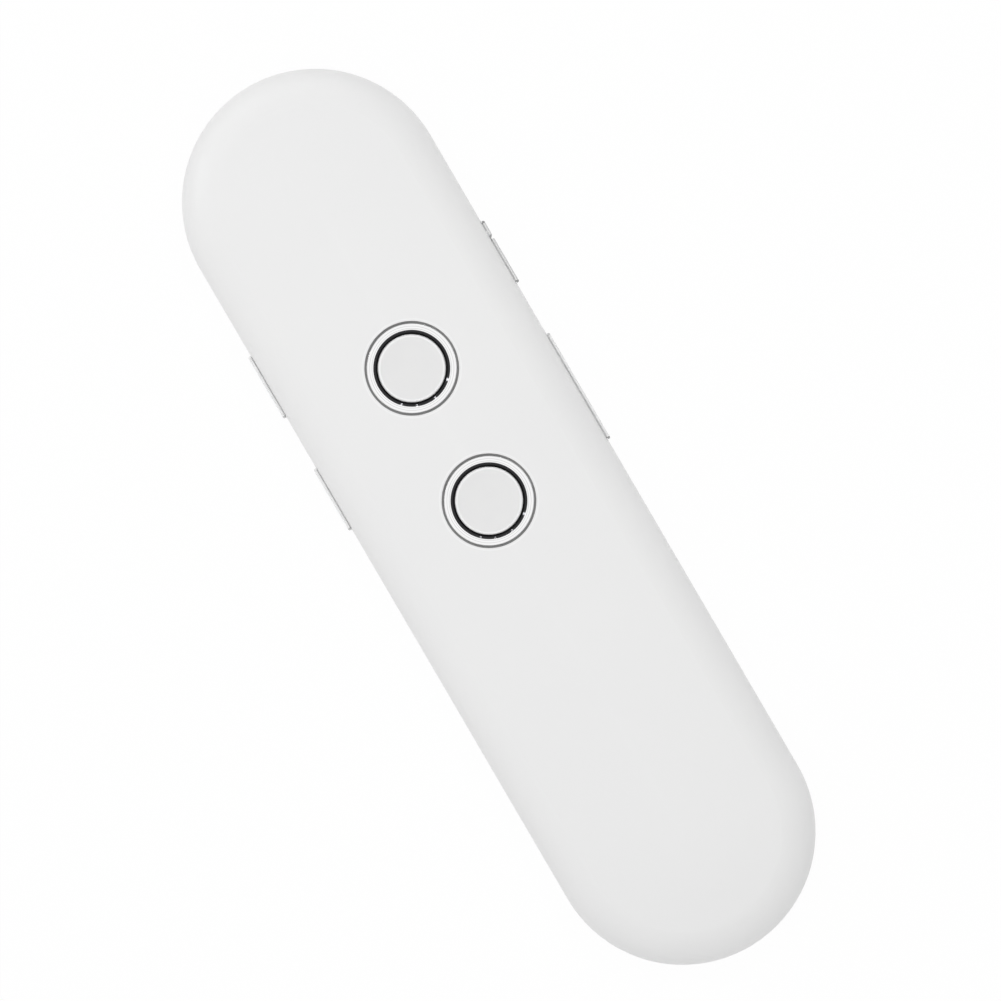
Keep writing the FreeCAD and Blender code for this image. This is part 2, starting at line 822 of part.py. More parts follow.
def socket_section(width, height, x_low, x_high):
    """A box with its two lower corners cut off, as a small charging socket's mouth has."""
    half = width / 2
    low = side_centre_z - height / 2
    high = side_centre_z + height / 2
    outline = [
        (-half, high), (half, high), (half, low + socket_corner),
        (half - socket_corner, low), (socket_corner - half, low), (-half, low + socket_corner),
    ]
    points = [Vector(x_low, socket_y + y, z) for y, z in outline]
    face = Part.Face(Part.makePolygon(points + points[:1]))
    return face.extrude(Vector(x_high - x_low, 0, 0))


def usb_socket():
    back = socket_front - socket_length
    outer = socket_section(socket_width, socket_height, back, socket_front)
    width = socket_width - 2 * socket_sheet
    height = socket_height - 2 * socket_sheet
    return outer.cut(socket_section(width, height, back + socket_sheet, socket_front + 1))


def usb_tongue():
    """The insulator inside the socket: a block at the back and a thin tongue towards the mouth."""
    back = socket_front - socket_length + socket_sheet
    high = side_centre_z + socket_height / 2 - socket_sheet
    low = side_centre_z - socket_height / 2 + socket_sheet
    block_half = socket_width / 2 - socket_corner - socket_sheet
    rear = block(
        back, back + socket_block_depth, socket_y - block_half, socket_y + block_half, low, high
    )
    tongue_half = socket_tongue_width / 2
    tongue = block(
        back, socket_front - socket_tongue_back, socket_y - tongue_half, socket_y + tongue_half,
        high - 2 * socket_tongue_thickness, high - socket_tongue_thickness,
    )
    return joined(rear, tongue)


def usb_contacts():
    """Five spring strips under the tongue."""
    back = socket_front - socket_length + socket_sheet + socket_block_depth
    front = socket_front - socket_tongue_back - contact_width
    high = side_centre_z + socket_height / 2 - socket_sheet - 2 * socket_tongue_thickness
    strips = []
    for k in range(contact_count):
        y = socket_y + (k - (contact_count - 1) / 2) * contact_pitch
        low_y = y - contact_width / 2
        strips.append(block(back, front, low_y, low_y + contact_width, high - contact_thickness, high))
    return group(strips)


# Circuit board


board_notch_x = socket_front - socket_length - socket_gap


def main_board():
    width = 2 * board_half_width
    board = rounded_plate(width, board_lower_end, board_upper_end, board_bottom, board_top, board_corner)
    radius = board_screw_radius + screw_head_gap
    cuts = [upright(radius, x, y, 0, casing_height) for x, y in board_screw_places]
    half_notch = socket_width / 2 + socket_gap
    cuts.append(block(board_notch_x, far, socket_y - half_notch, socket_y + half_notch, 0, casing_height))
    return board.cut(cuts)


def board_screws():
    return group([
        screw(x, y, board_bottom - board_head_height, board_head_radius, board_head_height,
              board_screw_radius, board_thickness + board_screw_length - board_screw_hole_spare)
        for x, y in board_screw_places
    ])


def on_board(width, length, height, x, y):
    """A flat component on the board's front side."""
    half = length / 2
    return block(x - width / 2, x + width / 2, y - half, y + half, board_top, board_top + height)


shield_y = board_lower_end + shield_from_end + shield_length / 2


def shield_can():
    can = on_board(shield_width, shield_length, shield_height, 0, shield_y)
    can = can.makeFillet(shield_corner, edges_along(can, Vector(0, 0, 1)))
    width = shield_width - 2 * shield_sheet
    length = shield_length - 2 * shield_sheet
    return can.cut(on_board(width, length, shield_height - shield_sheet, 0, shield_y))


def processor_chip():
    x = -(chip_gap + memory_width) / 2
    return on_board(processor_size, processor_size, processor_height, x, shield_y)


def memory_chip():
    """Beside the processor, the pair being centred under the shield can."""
    x = (processor_size + chip_gap) / 2
    return on_board(memory_width, memory_length, memory_height, x, shield_y)


radio_y = board_upper_end - radio_from_end - radio_length / 2


def radio_module():
    return on_board(radio_width, radio_length, radio_height, -radio_offset, radio_y)


def antenna_chip():
    x = board_half_width - antenna_from_side - antenna_width / 2
    y = board_upper_end - antenna_from_end - antenna_length / 2
    return on_board(antenna_width, antenna_length, antenna_height, x, y)


def crystal():
    x = radio_width / 2 - radio_offset + chip_gap + crystal_width / 2
    return on_board(crystal_width, crystal_length, crystal_height, x, radio_y)


def charger_chip():
    """Right behind the charging socket."""
    x = board_notch_x - chip_gap - charger_chip_size / 2
    return on_board(charger_chip_size, charger_chip_size, charger_chip_height, x, socket_y)


def audio_chip():
    """At the shield can's upper corner."""
    x = (shield_width - audio_chip_size) / 2
    y = shield_y + shield_length / 2 + chip_gap + audio_chip_size / 2
    return on_board(audio_chip_size, audio_chip_size, audio_chip_height, x, y)


# Leads


def lead(points, radius):
    """A round lead of straight runs joined by tangent arcs."""
    corners = [Vector(*p) for p in points]
    start = corners[0]
    edges = []
    for before, corner, after in zip(corners, corners[1:], corners[2:]):
        incoming = (corner - before).normalize()
        outgoing = (after - corner).normalize()
        turn = math.acos(max(-1, min(1, incoming.dot(outgoing))))
        run = min((corner - before).Length, (after - corner).Length)
        cut_back = 0.45 * run
        arc_radius = cut_back / math.tan(turn / 2)
        arc_start = corner - incoming * cut_back
        arc_end = corner + outgoing * cut_back
        towards = (outgoing - incoming).normalize()
        centre = corner + towards * math.sqrt(cut_back**2 + arc_radius**2)
        middle = centre - towards * arc_radius
        edges.append(Part.LineSegment(start, arc_start).toShape())
        edges.append(Part.Arc(arc_start, middle, arc_end).toShape())
        start = arc_end
    edges.append(Part.LineSegment(start, corners[-1]).toShape())
    path = Part.Wire(edges)
    first = (corners[1] - corners[0]).normalize()
    ring = Part.Wire(Part.Circle(corners[0], first, radius).toShape())
    return path.makePipeShell([ring], True, False)


# Battery


def battery_cell():
    half = battery_width / 2
    cell = block(-half, half, battery_lower_end, battery_upper_end, battery_bottom, battery_top)
    return cell.makeFillet(battery_edge_round, edges_along(cell, Vector(0, 1, 0)))


def battery_pad():
    half = battery_width / 2 - foam_margin
    low = battery_lower_end + foam_margin
    high = battery_upper_end - foam_margin
    return block(-half, half, low, high, wall, wall + foam_thickness)


guard_board_bottom = (battery_bottom + battery_top - guard_board_thickness) / 2


def battery_guard_board():
    """The cell's own protection board, at the cell's upper end."""
    half = guard_board_width / 2
    return block(
        -half, half, battery_upper_end, guard_board_end,
        guard_board_bottom, guard_board_bottom + guard_board_thickness,
    )


header_top = board_bottom
plug_z = header_top - header_wall - plug_block_height / 2 - side_gap


def battery_plug():
    half = plug_block_width / 2
    return block(
        -half, half, battery_plug_back, battery_plug_back + plug_block_length,
        plug_z - plug_block_height / 2, plug_z + plug_block_height / 2,
    )


def battery_header():
    """The socket under the board that the battery's plug goes into."""
    half = plug_block_width / 2 + side_gap + header_wall
    low = plug_z - plug_block_height / 2 - side_gap - header_wall
    mouth = battery_plug_back + plug_block_length - plug_insertion
    shell = block(-half, half, mouth, mouth + header_length, low, header_top)
    inner = half - header_wall
    depth = mouth + plug_insertion + side_gap
    room = block(-inner, inner, mouth - 1, depth, low + header_wall, header_top - header_wall)
    return shell.cut(room)


def battery_lead(side):
    """From the guard board's end to the back of the plug."""
    z = guard_board_bottom + guard_board_thickness / 2
    rise = battery_header_distance / 3
    x_guard = side * guard_lead_spread
    x_plug = side * plug_lead_spread
    points = [
        (x_guard, guard_board_end, z),
        (x_guard, guard_board_end + rise, z),
        (x_plug, battery_plug_back - rise, plug_z),
        (x_plug, battery_plug_back, plug_z),
    ]
    return lead(points, lead_radius)


# Speaker


speaker_bottom = wall + mesh_thickness + gasket_thickness
speaker_top = speaker_bottom + speaker_height


def speaker_mesh():
    radius = speaker_radius - gasket_width / 2
    return upright(radius, 0, speaker_y, wall, wall + mesh_thickness)


def speaker_gasket():
    bottom = (0, speaker_y, wall + mesh_thickness)
    return tube(speaker_radius, speaker_radius - gasket_width, bottom, (0, speaker_y, speaker_bottom))


def speaker_frame():
    """The basket: a rim towards the grille, a pan behind it and a terminal shelf."""
    pan = upright(speaker_radius, 0, speaker_y, speaker_bottom, speaker_top)
    pan_low = speaker_top - speaker_back_wall
    room = upright(speaker_radius - speaker_rim, 0, speaker_y, speaker_bottom - 1, pan_low)
    back_hole = upright(magnet_radius, 0, speaker_y, speaker_bottom, speaker_top + 1)
    half = terminal_width / 2
    inner = speaker_y + speaker_radius - 1
    outer = speaker_y + speaker_radius + rib_gap + terminal_length
    shelf = block(-half, half, inner, outer, speaker_top - terminal_thickness, speaker_top)
    return joined(pan, shelf).cut([room, back_hole])


def speaker_cone():
    """The diaphragm: a shallow dome in a flat rim."""
    low = speaker_bottom + cone_recess
    rim = speaker_radius - speaker_rim - cone_gap
    under = [(0, low), (rim / 3, low), (rim / 2, low + cone_dome), (rim - cone_roll, low), (rim, low)]
    over = [(r, z + speaker_cone_thickness) for r, z in reversed(under)]
    return turned(under + over, 0, speaker_y)


def speaker_magnet():
    """The magnet pot, seated in the basket's back hole."""
    top = speaker_top + magnet_height
    pot = upright(magnet_radius, 0, speaker_y, speaker_top - speaker_back_wall, top)
    return pot.makeFillet(magnet_edge_round, [e for e in pot.Edges if e.BoundBox.ZMin > top - 0.001])


def speaker_lead(side):
    """From the basket's shelf up to the underside of the board."""
    z_start = speaker_top - terminal_thickness / 2
    z_board = board_bottom - lead_board_gap - lead_radius
    y_start = speaker_y + speaker_radius + rib_gap + terminal_length
    x = side * speaker_lead_spread
    points = [
        (x, y_start, z_start),
        (x, y_start + speaker_lead_straight, z_start),
        (x, board_lower_end, z_board),
        (x, board_lower_end + speaker_lead_on_board, z_board),
    ]
    return lead(points, lead_radius)


# Microphones


def microphone_boot(end):
    """A rubber sleeve round the capsule, open at the back and pierced towards the sound hole."""
    radius = mic_radius + mic_boot_wall
    back = mic_seat_y - mic_boot_length
    sleeve = rod(radius, (0, back, mic_z), (0, mic_seat_y, mic_z))
    room = rod(mic_radius, (0, back - 1, mic_z), (0, mic_seat_y - mic_boot_wall, mic_z))
    sleeve = sleeve.cut([room, rod(mic_hole_radius, (0, back, mic_z), (0, mic_seat_y + 1, mic_z))])
    return sleeve if end > 0 else sleeve.mirror(Vector(0, 0, 0), Vector(0, 1, 0))


mic_capsule_front = mic_seat_y - mic_boot_wall
mic_capsule_back = mic_capsule_front - mic_length


def microphone(end):
    return rod(mic_radius, (0, end * mic_capsule_back, mic_z), (0, end * mic_capsule_front, mic_z))


def upper_mic_leads():
    z_board = board_bottom - lead_board_gap - mic_lead_radius
    leads = []
    for side in (-1, 1):
        x = side * mic_lead_spread
        points = [
            (x, mic_capsule_back, mic_z),
            (x, mic_capsule_back - mic_lead_straight, mic_z),
            (x, board_upper_end, z_board),
            (x, board_upper_end - mic_lead_on_board, z_board),
        ]
        leads.append(lead(points, mic_lead_radius))
    return group(leads)


def lower_mic_leads():
    """They pass over the speaker's magnet and end on the board's front side."""
    z_board = board_top + lead_board_gap + mic_lead_radius
    z_over = max(z_board, speaker_top + magnet_height + mic_lead_radius) + mic_lead_magnet_gap
    leads = []
    for side in (-1, 1):
        x = side * mic_lead_spread
        points = [
            (x, -mic_capsule_back, mic_z),
            (x, -mic_capsule_back + mic_lead_straight, mic_z),
            (x - mic_lead_shift, speaker_y - magnet_radius, z_over),
            (x - mic_lead_shift, speaker_y + magnet_radius, z_over),
            (x - mic_lead_shift, board_lower_end, z_board),
            (x - mic_lead_shift, board_lower_end + mic_lead_on_board, z_board),
        ]
        leads.append(lead(points, mic_lead_radius))
    return group(leads)


# The assembly

pieces = {
    "front_shell": front_shell(),
    "rear_shell": rear_shell(),
    "case_screws": case_screws(),
    "screw_plugs": screw_plugs(),
    "port_frame": port_frame(),
    "port_cover": port_cover(),
    "port_cover_pin": port_cover_pin(),
    "usb_socket": usb_socket(),
    "usb_tongue": usb_tongue(),
    "usb_contacts": usb_contacts(),
    "main_board": main_board(),
    "board_screws": board_screws(),
    "shield_can": shield_can(),
    "processor_chip": processor_chip(),
    "memory_chip": memory_chip(),
    "radio_module": radio_module(),
    "antenna_chip": antenna_chip(),
    "crystal": crystal(),
    "charger_chip": charger_chip(),
    "audio_chip": audio_chip(),
    "battery_cell": battery_cell(),
    "battery_pad": battery_pad(),
    "battery_guard_board": battery_guard_board(),
    "battery_plug": battery_plug(),
    "battery_header": battery_header(),
    "battery_lead_red": battery_lead(1),
    "battery_lead_black": battery_lead(-1),
    "speaker_mesh": speaker_mesh(),
    "speaker_gasket": speaker_gasket(),
    "speaker_frame": speaker_frame(),
    "speaker_cone": speaker_cone(),
    "speaker_magnet": speaker_magnet(),
    "speaker_lead_red": speaker_lead(1),
    "speaker_lead_black": speaker_lead(-1),
    "upper_microphone": microphone(1),
    "upper_microphone_boot": microphone_boot(1),
    "upper_microphone_leads": upper_mic_leads(),
    "lower_microphone": microphone(-1),
    "lower_microphone_boot": microphone_boot(-1),
    "lower_microphone_leads": lower_mic_leads(),
}

for name, key_y in (("upper_key", upper_key_y), ("lower_key", lower_key_y)):
    pieces[name + "_ring"] = key_ring(key_y)
    pieces[name + "_cap"] = key_cap(key_y)
    pieces[name + "_switch"], pieces[name + "_plunger"] = placed_front_switch(key_y)

for name, y_high in (("power_key", upper_side_top), ("mode_key", lower_side_top)):
    y_low = y_high - side_key_length
    pieces[name] = mirrored_x(side_key(y_low, y_high))
    pieces[name + "_switch"], pieces[name + "_plunger"] = placed_side_switch(
        -1, (y_low + y_high) / 2, side_key_travel
    )

pieces["volume_rocker"] = volume_rocker()
rocker_travel = volume_stem_offset * math.radians(volume_tilt)
for name, sign in (("volume_up", 1), ("volume_down", -1)):
    y = rocker_centre_y + sign * volume_stem_offset
    pieces[name + "_switch"], pieces[name + "_plunger"] = placed_side_switch(
        1, y, rocker_travel, rocker_travel
    )

os.makedirs("parts", exist_ok=True)
for name, shape in pieces.items():
    if not shape.isValid():
        raise ValueError(f"{name} is not a valid shape")
    shape.exportStep(f"parts/{name}.step")
    print(f"{name}: {len(shape.Solids)} solids, {shape.Volume:.1f} mm3")
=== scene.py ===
import math

import bmesh
import bpy
from mathutils import Matrix, Vector


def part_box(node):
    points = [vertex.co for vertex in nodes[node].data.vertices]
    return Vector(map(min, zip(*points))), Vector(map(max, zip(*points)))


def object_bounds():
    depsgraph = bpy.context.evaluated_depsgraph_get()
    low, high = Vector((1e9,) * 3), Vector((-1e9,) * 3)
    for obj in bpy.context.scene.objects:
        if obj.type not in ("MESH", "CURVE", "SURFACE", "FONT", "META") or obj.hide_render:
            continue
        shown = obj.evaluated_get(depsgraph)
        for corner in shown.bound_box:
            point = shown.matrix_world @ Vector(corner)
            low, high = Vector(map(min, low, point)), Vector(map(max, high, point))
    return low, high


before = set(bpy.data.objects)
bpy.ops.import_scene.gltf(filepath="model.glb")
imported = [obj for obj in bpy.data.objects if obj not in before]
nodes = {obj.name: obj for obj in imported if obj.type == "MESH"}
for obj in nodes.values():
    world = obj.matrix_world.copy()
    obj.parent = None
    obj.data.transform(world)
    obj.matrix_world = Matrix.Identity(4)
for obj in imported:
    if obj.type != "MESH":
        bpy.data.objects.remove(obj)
cad_box = [list(corner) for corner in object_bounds()]


# Front and rear shells: two halves moulded in white ABS. The tool is spark-eroded, so the skin has
# a satin grain finer than a hair, with very slight changes of gloss from the flow of the plastic.


def finish(name, colour, roughness, metallic=0.0, **others):
    """A new material with its even values set on the shader itself."""
    made = bpy.data.materials.new(name)
    made.use_nodes = True
    shader = made.node_tree.nodes["Principled BSDF"]
    shader.inputs["Base Color"].default_value = (*colour, 1)
    shader.inputs["Roughness"].default_value = roughness
    shader.inputs["Metallic"].default_value = metallic
    for socket, value in others.items():
        shader.inputs[socket.replace("_", " ")].default_value = value
    return made


def feed(made, value, socket):
    """Gives the socket a plain value, or leads another node's output to it."""
    if isinstance(value, bpy.types.NodeSocket):
        made.node_tree.links.new(value, socket)
    else:
        socket.default_value = value


def add(made, kind, options=(), **sockets):
    """Adds a node. A socket's value is a number, a colour or another node's output."""
    step = made.node_tree.nodes.new(kind)
    for option, value in options:
        setattr(step, option, value)
    for name, value in sockets.items():
        feed(made, value, step.inputs[name.replace("_", " ")])
    return step


def combine(made, operation, first, second=0.0):
    """A Math node on two numbers or outputs."""
    step = add(made, "ShaderNodeMath", [("operation", operation)])
    feed(made, first, step.inputs[0])
    feed(made, second, step.inputs[1])
    return step.outputs[0]


def place(made):
    """The surface point in the part's own frame, in metres."""
    for step in made.node_tree.nodes:
        if step.bl_idname == "ShaderNodeTexCoord":
            return step.outputs["Object"]
    return add(made, "ShaderNodeTexCoord").outputs["Object"]


def noise(made, size, detail=2.0):
    """Noise whose blobs are about size metres across."""
    step = add(made, "ShaderNodeTexNoise", Vector=place(made), Scale=1 / size, Detail=detail)
    return step.outputs["Fac"]


def onto(made, value, socket):
    """Leads a node's output to that socket of the shader."""
    made.node_tree.links.new(value, made.node_tree.nodes["Principled BSDF"].inputs[socket])


def raise_skin(made, height, depth):
    """Lifts the skin by up to depth where height is 1."""
    bump = add(made, "ShaderNodeBump", Height=height, Distance=depth, Strength=1.0)
    onto(made, bump.outputs["Normal"], "Normal")


def grain(made, size, depth, detail=2.0):
    """Raises and lowers the skin by up to depth, in blobs of that size."""
    raise_skin(made, noise(made, size, detail), depth)


def range_of(made, value, low, high, start=0.3, stop=0.7):
    """Low where the value is at start, high where it is at stop, and even between."""
    step = add(made, "ShaderNodeMapRange", Value=value, From_Min=start, From_Max=stop,
               To_Min=low, To_Max=high)
    return step.outputs["Result"]


def uneven_gloss(made, low, high, size):
    """A roughness that wanders from low to high, in blobs of that size."""
    onto(made, range_of(made, noise(made, size), low, high), "Roughness")


def blend(made, share, first, second):
    """The colour between first and second at each point."""
    step = add(made, "ShaderNodeMix", [("data_type", "RGBA")])
    feed(made, share, step.inputs["Factor"])
    for socket, value in ((step.inputs[6], first), (step.inputs[7], second)):
        feed(made, (*value, 1) if isinstance(value, tuple) else value, socket)
    return step.outputs[2]


def uneven_colour(made, first, second, size, detail=2.0):
    """A colour that wanders from first to second, in blobs of that size."""
    share = range_of(made, noise(made, size, detail), 0, 1)
    onto(made, blend(made, share, first, second), "Base Color")


def dress(made, *names):
    """Gives the nodes of these names the material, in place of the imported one."""
    for name in names:
        for slot in nodes[name].material_slots:
            slot.material = made


casing_white = finish("casing_white", (0.80, 0.80, 0.80), 0.42)
uneven_colour(casing_white, (0.812, 0.812, 0.812), (0.822, 0.822, 0.820), size=0.03)
uneven_gloss(casing_white, 0.40, 0.46, size=0.008)
grain(casing_white, size=0.00022, depth=0.0000025)
dress(casing_white, "front_shell", "rear_shell")


# Screw plugs: four soft silicone discs pushed into the rear cover's screw recesses. The silicone
# is a touch greyer and duller than the casing, and picks up faint smears from the thumb.

plug_grey = finish("plug_silicone", (0.76, 0.76, 0.75), 0.6)
uneven_colour(plug_grey, (0.77, 0.77, 0.765), (0.74, 0.74, 0.735), size=0.0012)
uneven_gloss(plug_grey, 0.52, 0.66, size=0.0009)
grain(plug_grey, size=0.0003, depth=0.000006)
dress(plug_grey, "screw_plugs")


# Side keys and the volume rocker: moulded in a glossier white than the casing, polished on top and
# left satin round the edges, where they slide in the casing's windows. Some of their end corners
# carry painted shade, dark like the gaps beside them.


def step_at(made, value, edge, soft, below=0, above=1):
    """One number below the edge and another above it, over a soft width."""
    return range_of(made, value, below, above, edge - soft, edge + soft)


def within(made, low, high, soft=0.00003):
    """1 inside the box from low to high and 0 outside it, in the part's own frame."""
    point = add(made, "ShaderNodeSeparateXYZ", Vector=place(made))
    inside = 1.0
    for axis, first, last in zip("XYZ", low, high):
        past_first = step_at(made, point.outputs[axis], first, soft)
        short_of_last = step_at(made, point.outputs[axis], last, soft, 1, 0)
        inside = combine(made, "MULTIPLY", inside, combine(made, "MULTIPLY", past_first, short_of_last))
    return inside


def skin_of(made):
    """The colour that reaches the shader so far."""
    return made.node_tree.nodes["Principled BSDF"].inputs["Base Color"].links[0].from_socket


def paint_shade(made, tone, low, high):
    """Paints shade into the skin inside the box."""
    onto(made, blend(made, within(made, low, high), skin_of(made), (tone, tone, tone)), "Base Color")


def head_box(name):
    """The part of a side piece that shows: its box without the stop flange behind the window."""
    flange = Vector((0, 0.0005, 0.0005))
    low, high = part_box(name)
    return low + flange, high - flange


beyond = 0.001
head_depth = 0.0006
corner = 0.00035
key_white = finish("key_white", (0.79, 0.79, 0.79), 0.3, Subsurface_Weight=0.8, Subsurface_Scale=0.0005,
                   Subsurface_Radius=(1.0, 1.0, 1.0))
uneven_colour(key_white, (0.785, 0.785, 0.785), (0.80, 0.80, 0.798), size=0.004)
uneven_gloss(key_white, 0.27, 0.34, size=0.002)
grain(key_white, size=0.0004, depth=0.0000012)
# Painted shade on the outer corner at one end of each side key.
for name in ("power_key", "mode_key"):
    low, high = head_box(name)
    paint_shade(key_white, 0.5, (low.x - beyond, low.y - beyond, high.z - corner),
           (low.x + head_depth, low.y + corner, high.z + beyond))
# Painted shade on the rocker's outer corners at both ends.
low, high = head_box("volume_rocker")
for tone, first, last in (
    (0.3, low.y - beyond, low.y + corner),
    (0.55, high.y - corner, high.y + beyond),
):
    paint_shade(key_white, tone, (high.x - head_depth, first, high.z - corner),
           (high.x + beyond, last, high.z + beyond))
dress(key_white, "power_key", "mode_key", "volume_rocker")


# Port frame and port cover: a softer plastic than the casing's, because the cover snaps shut.
# It keeps a fine matt skin that shows against the satin casing. Painted shade runs as a thin grey
# line along the outer edge, and darkens the hinge line, the nail notch and the upper end, like gaps.

port_white = finish("port_plastic", (0.79, 0.79, 0.79), 0.5, Subsurface_Weight=0.8, Subsurface_Scale=0.0004,
                   Subsurface_Radius=(1.0, 1.0, 1.0))
uneven_colour(port_white, (0.80, 0.80, 0.80), (0.785, 0.785, 0.782), size=0.003)
uneven_gloss(port_white, 0.45, 0.55, size=0.0012)
grain(port_white, size=0.00025, depth=0.000004)
low, high = head_box("port_frame")
shaded_edge = 0.0002
pin_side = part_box("port_cover_pin")[0].y
hinge_shade = (-0.0004, 0.0002)
# Painted shade: a thin grey line along the outer edge of the head.
paint_shade(port_white, 0.62, (high.x - shaded_edge, low.y - beyond, high.z - shaded_edge),
       (high.x + beyond, high.y + beyond, high.z + beyond))
# Painted shade at the lower end, the hinge line and the upper end.
for tone, first, last in (
    (0.28, low.y - beyond, low.y + corner),
    (0.4, pin_side + hinge_shade[0], pin_side + hinge_shade[1]),
    (0.3, high.y - corner, high.y + beyond),
):
    paint_shade(port_white, tone, (high.x - head_depth, first, high.z - 2 * corner),
           (high.x + beyond, last, high.z + beyond))
dress(port_white, "port_frame", "port_cover")


# Key rings: machined bezels, bright plated on the outer band. The steep bevel next to the cap is
# polished, and its dark base colour is a painted reflection of dark surroundings. Two fine lines of
# painted shade run round the band. The casing's well has painted shade at its bottom and a painted
# highlight at its edge.


def key_centre(key):
    """The middle of a key's ring."""
    low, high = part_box(key + "_ring")
    return (low + high) / 2


def vector_step(made, operation, first, second):
    """A Vector Math node on an output and three plain numbers."""
    step = add(made, "ShaderNodeVectorMath", [("operation", operation)])
    feed(made, first, step.inputs[0])
    feed(made, second, step.inputs[1])
    return step


def radius_from(made, centre):
    """How far the surface point is from the upright line at centre, in metres."""
    flat = vector_step(made, "MULTIPLY", place(made), (1, 1, 0))
    away = vector_step(made, "DISTANCE", flat.outputs["Vector"], (centre.x, centre.y, 0))
    return away.outputs["Value"]


def ring_mask(made, centre, inner, outer, soft=0.00004):
    """1 between the two radii about the key's centre and 0 elsewhere."""
    radius = radius_from(made, centre)
    past_inner = step_at(made, radius, inner, soft)
    short_of_outer = step_at(made, radius, outer, soft, 1, 0)
    return combine(made, "MULTIPLY", past_inner, short_of_outer)


round_keys = ("upper_key", "lower_key")
sharp = 0.00001
groove_radius = 0.00673
groove_bottom = 0.0119
well_edge = (0.00695, 0.00710)
well_painted_shade = (0.42, 0.42, 0.42)
painted_highlight = (0.87, 0.87, 0.87)
height = add(casing_white, "ShaderNodeSeparateXYZ", Vector=place(casing_white)).outputs["Z"]
skin = skin_of(casing_white)
for key in round_keys:
    centre = key_centre(key)
    inside = step_at(casing_white, radius_from(casing_white, centre), groove_radius, sharp, 1, 0)
    above_bottom = step_at(casing_white, height, groove_bottom, sharp)
    # Painted shade in the groove round each ring.
    skin = blend(casing_white, combine(casing_white, "MULTIPLY", inside, above_bottom), skin, well_painted_shade)
    # Painted highlight along the well's edge.
    skin = blend(casing_white, ring_mask(casing_white, centre, *well_edge), skin, painted_highlight)
onto(casing_white, skin, "Base Color")

bevel_top_radius = 0.00546
# The bevel's near-black base colour is a painted reflection of dark surroundings.
bevel_painted_reflection = (0.035, 0.035, 0.037)
line_radii = (0.00565, 0.00598)
line_half = 0.00004
line_soft = 0.00002
line_painted_shade = (0.68, 0.68, 0.68)
turning_pitch = 0.00006
turning_depth = 0.0000003
for key in round_keys:
    bezel = finish(key + "_bezel", (0.85, 0.85, 0.85), 0.2, metallic=1.0)
    radius = radius_from(bezel, key_centre(key))
    on_band = step_at(bezel, radius, bevel_top_radius, sharp)
    band_tone = blend(bezel, noise(bezel, size=0.002), (0.93, 0.93, 0.93), (0.96, 0.96, 0.96))
    # Two fine darker lines on the band are painted shade along its crest and step.
    for line in line_radii:
        from_line = combine(bezel, "ABSOLUTE", combine(bezel, "SUBTRACT", radius, line))
        off_line = step_at(bezel, from_line, line_half, line_soft)
        band_tone = blend(bezel, off_line, line_painted_shade, band_tone)
    onto(bezel, blend(bezel, on_band, bevel_painted_reflection, band_tone), "Base Color")
    turned = combine(bezel, "SINE", combine(bezel, "MULTIPLY", radius, 2 * math.pi / turning_pitch))
    raise_skin(bezel, turned, turning_depth)
    polish = range_of(bezel, noise(bezel, size=0.0015), 0.0, 0.03)
    gloss = range_of(bezel, on_band, 0.07, 0.30, 0.0, 1.0)
    onto(bezel, combine(bezel, "ADD", gloss, polish), "Roughness")
    dress(bezel, key + "_ring")


# Key caps: the two thumb caps, moulded in a dense white with a polished, slightly dished top. The
# rim carries a painted highlight, a ring a shade lighter.

cap_white = finish("cap_white", (0.75, 0.75, 0.75), 0.28)
uneven_colour(cap_white, (0.766, 0.766, 0.766), (0.776, 0.776, 0.774), size=0.003)
uneven_gloss(cap_white, 0.32, 0.335, size=0.004)
cap_rim = (0.00444, 0.00464)
skin = skin_of(cap_white)
for key in round_keys:
    # Painted highlight round each cap's rim.
    skin = blend(cap_white, ring_mask(cap_white, key_centre(key), *cap_rim), skin, painted_highlight)
onto(cap_white, skin, "Base Color")
grain(cap_white, size=0.0003, depth=0.0000002)
dress(cap_white, "upper_key_cap", "lower_key_cap")


# Steel fasteners: screws, the cover's pin and the speaker's magnet pot, zinc plated. The plating
# has fine drawn streaks and small dull spots.

zinc = finish("zinc_plate", (0.62, 0.62, 0.63), 0.34, metallic=1.0)
uneven_colour(zinc, (0.64, 0.64, 0.65), (0.55, 0.56, 0.58), size=0.0006, detail=4.0)
uneven_gloss(zinc, 0.28, 0.45, size=0.0004)
grain(zinc, size=0.00012, depth=0.000004, detail=4.0)
dress(zinc, "case_screws", "board_screws", "port_cover_pin", "speaker_magnet")


# Charging socket, shield can and the lids of the radio and the crystal: folded from tinned sheet,
# softly bright, with the faint streaks that the rolling mill leaves along the sheet. The socket's
# contacts and the antenna are gold plated.

tin = finish("tinned_sheet", (0.74, 0.74, 0.75), 0.3, metallic=1.0)
stretched = add(tin, "ShaderNodeMapping", Scale=(1.0, 0.06, 1.0))
tin.node_tree.links.new(place(tin), stretched.inputs["Vector"])
streaks = add(tin, "ShaderNodeTexNoise", Vector=stretched.outputs["Vector"], Scale=1 / 0.00015, Detail=3.0)
raise_skin(tin, streaks.outputs["Fac"], 0.000002)
uneven_gloss(tin, 0.24, 0.38, size=0.001)
uneven_colour(tin, (0.75, 0.75, 0.76), (0.70, 0.70, 0.72), size=0.002)
dress(tin, "usb_socket", "shield_can", "radio_module", "crystal")

gold = finish("contact_gold", (0.83, 0.62, 0.26), 0.25, metallic=1.0)
uneven_colour(gold, (0.84, 0.63, 0.27), (0.78, 0.58, 0.24), size=0.0004)
uneven_gloss(gold, 0.2, 0.32, size=0.0003)
dress(gold, "usb_contacts", "antenna_chip")


# Circuit boards: glass-fibre board under green solder mask. The copper tracks stand up a little
# under the mask, and the mask is lighter where it lies over them.

